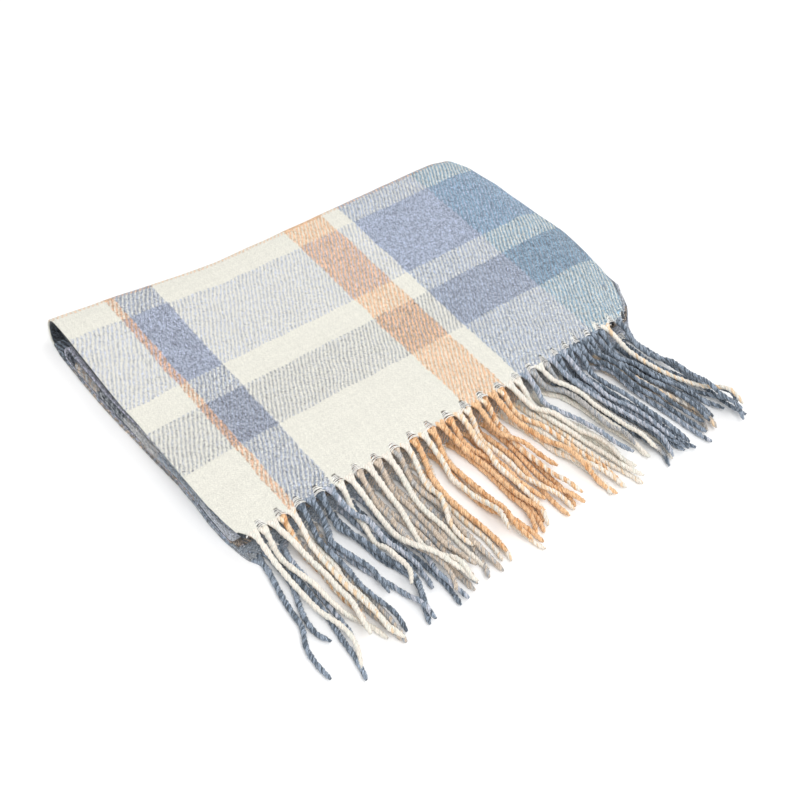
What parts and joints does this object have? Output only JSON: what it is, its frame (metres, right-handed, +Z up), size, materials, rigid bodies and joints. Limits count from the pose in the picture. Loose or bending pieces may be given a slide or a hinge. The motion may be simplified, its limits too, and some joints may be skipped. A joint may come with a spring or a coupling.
{
  "type": "folded blanket scarf",
  "caption": "Woven plaid blanket scarf folded into a flat pad, with twisted tassels along its front edge.",
  "frame": {"origin": "centre of the bounding box's bottom face, on the surface that the folded scarf rests on", "axes": "+Z up; -Y towards the fringed front; +Y towards the back fold; +X towards the lengthwise fold at the right"},
  "size_m": [0.347, 0.336, 0.0204],
  "materials": {
    "outer_cloth": "soft brushed acrylic twill in a cream, blue and peach plaid",
    "second_cloth": "soft brushed acrylic twill, seen at its selvedge",
    "inner_cloth": "soft brushed acrylic twill, several layers deep",
    "upper_face_yarn": "two-ply twisted acrylic warp yarn",
    "upper_underside_yarn": "two-ply twisted acrylic warp yarn",
    "lower_face_yarn": "two-ply twisted acrylic warp yarn",
    "lower_underside_yarn": "two-ply twisted acrylic warp yarn"
  },
  "bodies": {
    "root": {"outer_wrap": "outer_cloth", "second_wrap": "second_cloth", "inner_layers": "inner_cloth", "fringe_upper_face": "upper_face_yarn", "fringe_upper_underside": "upper_underside_yarn", "fringe_lower_face": "lower_face_yarn", "fringe_lower_underside": "lower_underside_yarn"}
  },
  "joints": []
}
